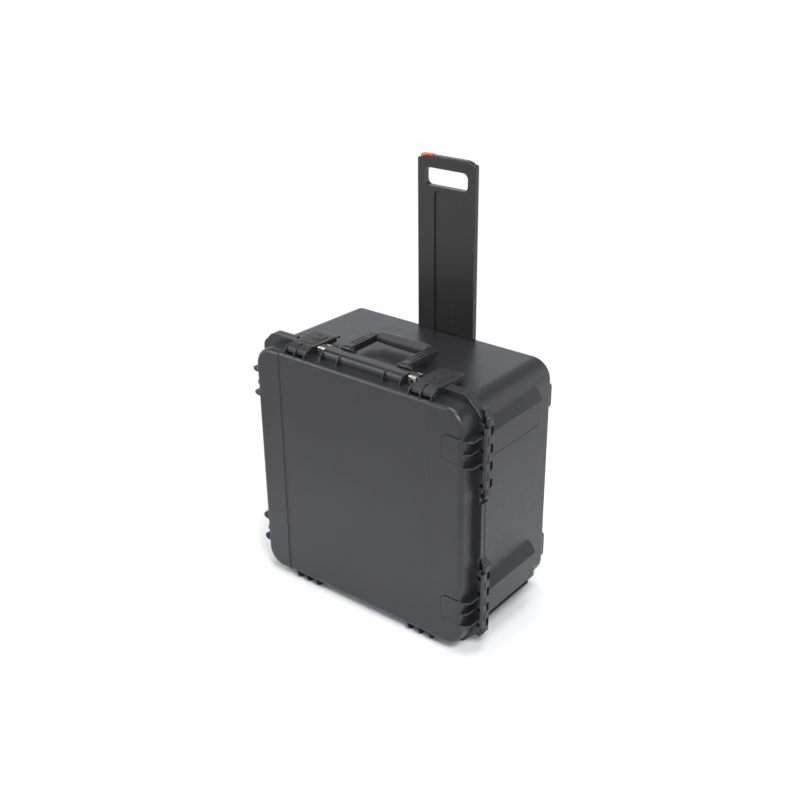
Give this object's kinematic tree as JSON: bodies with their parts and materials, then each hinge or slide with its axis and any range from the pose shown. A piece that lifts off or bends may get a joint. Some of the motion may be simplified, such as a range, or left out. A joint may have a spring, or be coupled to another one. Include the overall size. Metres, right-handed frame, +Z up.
{
  "type": "drone carrying case",
  "caption": "Upright hard carrying case for a camera drone: side-hinged lid, latches, folding carry handle, sliding pull handle, wheels and foam inserts.",
  "frame": {"origin": "on the floor under the middle of the case's depth and halfway between its left and right walls; the whole outline's middle is about 2 mm further right, because only the hinges stand out on that side", "axes": "+Z up with the case standing on its feet and wheels, -Y out of the lid's front face, +X towards the hinge side"},
  "size_m": [0.6307, 0.36, 1.0105],
  "materials": {
    "shell": "fine moulded texture, satin",
    "latch": "moulded texture",
    "handle": "satin",
    "grip": "soft overmoulded rubber",
    "seal": "smooth",
    "foam": "open-cell and closed-cell foam",
    "steel": "brushed",
    "plated_steel": "plated, slightly worn",
    "button": "satin",
    "tyre": "moulded rubber"
  },
  "bodies": {
    "base": {"base_shell": "shell", "channel_cover": "shell", "base_foam": "foam", "hinge_pin_lower": "steel", "hinge_pin_upper": "steel", "padlock_loop_base_left": "plated_steel", "padlock_loop_base_right": "plated_steel", "handle_pin_left": "steel", "handle_pin_right": "steel", "cover_screw_1": "steel", "cover_screw_2": "steel", "cover_screw_3": "steel", "cover_screw_4": "steel", "wheel_axle_left": "steel", "wheel_axle_right": "steel", "pressure_valve": "latch"},
    "lid": {"lid_shell": "shell", "gasket": "seal", "lid_foam": "foam", "padlock_loop_lid_left": "plated_steel", "padlock_loop_lid_right": "plated_steel", "latch_pin_top_left": "steel", "latch_pin_top_right": "steel", "latch_pin_side_upper": "steel", "latch_pin_side_lower": "steel"},
    "latch_top_left": {"latch_top_left": "latch"},
    "latch_top_right": {"latch_top_right": "latch"},
    "latch_side_upper": {"latch_side_upper": "latch"},
    "latch_side_lower": {"latch_side_lower": "latch"},
    "trigger_top_left": {"latch_trigger_top_left": "latch"},
    "trigger_top_right": {"latch_trigger_top_right": "latch"},
    "trigger_side_upper": {"latch_trigger_side_upper": "latch"},
    "trigger_side_lower": {"latch_trigger_side_lower": "latch"},
    "carry_handle": {"carry_handle_frame": "handle", "carry_handle_grip": "grip"},
    "pull_handle": {"pull_handle": "handle"},
    "release": {"release_button": "button", "release_rod": "steel"},
    "wheel_left": {"wheel_left": "tyre"},
    "wheel_right": {"wheel_right": "tyre"}
  },
  "joints": [
    {"name": "lid_hinge", "type": "hinge", "parent": "base", "child": "lid", "pos_m": [0.311, -0.1185, 0.31], "axis": [0, 0, 1], "range_deg": [0, 105]},
    {"name": "latch_top_left_pivot", "type": "hinge", "parent": "lid", "child": "latch_top_left", "pos_m": [-0.1758, -0.1585, 0.611], "axis": [1, 0, 0], "range_deg": [0, 100]},
    {"name": "latch_top_right_pivot", "type": "hinge", "parent": "lid", "child": "latch_top_right", "pos_m": [0.1758, -0.1585, 0.611], "axis": [1, 0, 0], "range_deg": [0, 100]},
    {"name": "latch_side_upper_pivot", "type": "hinge", "parent": "lid", "child": "latch_side_upper", "pos_m": [-0.299, -0.1405, 0.5094], "axis": [0, 0, 1], "range_deg": [0, 100]},
    {"name": "latch_side_lower_pivot", "type": "hinge", "parent": "lid", "child": "latch_side_lower", "pos_m": [-0.299, -0.1405, 0.1146], "axis": [0, 0, 1], "range_deg": [0, 100]},
    {"name": "trigger_top_left_pivot", "type": "hinge", "parent": "latch_top_left", "child": "trigger_top_left", "pos_m": [-0.1758, -0.1265, 0.6214], "axis": [1, 0, 0], "range_deg": [0, 12]},
    {"name": "trigger_top_right_pivot", "type": "hinge", "parent": "latch_top_right", "child": "trigger_top_right", "pos_m": [0.1758, -0.1265, 0.6214], "axis": [1, 0, 0], "range_deg": [0, 12]},
    {"name": "trigger_side_upper_pivot", "type": "hinge", "parent": "latch_side_upper", "child": "trigger_side_upper", "pos_m": [-0.3094, -0.1265, 0.5094], "axis": [0, 0, 1], "range_deg": [0, 12]},
    {"name": "trigger_side_lower_pivot", "type": "hinge", "parent": "latch_side_lower", "child": "trigger_side_lower", "pos_m": [-0.3094, -0.1265, 0.1146], "axis": [0, 0, 1], "range_deg": [0, 12]},
    {"name": "carry_handle_pivot", "type": "hinge", "parent": "base", "child": "carry_handle", "pos_m": [0, -0.096, 0.6205], "axis": [1, 0, 0], "range_deg": [0, 90]},
    {"name": "pull_handle_slide", "type": "slide", "parent": "base", "child": "pull_handle", "axis": [0, 0, 1], "range_m": [-0.395, 0]},
    {"name": "release_button_slide", "type": "slide", "parent": "pull_handle", "child": "release", "axis": [0, 0, 1], "range_m": [-0.005, 0]},
    {"name": "wheel_left_spin", "type": "hinge", "parent": "base", "child": "wheel_left", "pos_m": [-0.206, 0.1405, 0.032], "axis": [1, 0, 0], "continuous": true},
    {"name": "wheel_right_spin", "type": "hinge", "parent": "base", "child": "wheel_right", "pos_m": [0.206, 0.1405, 0.032], "axis": [1, 0, 0], "continuous": true}
  ]
}
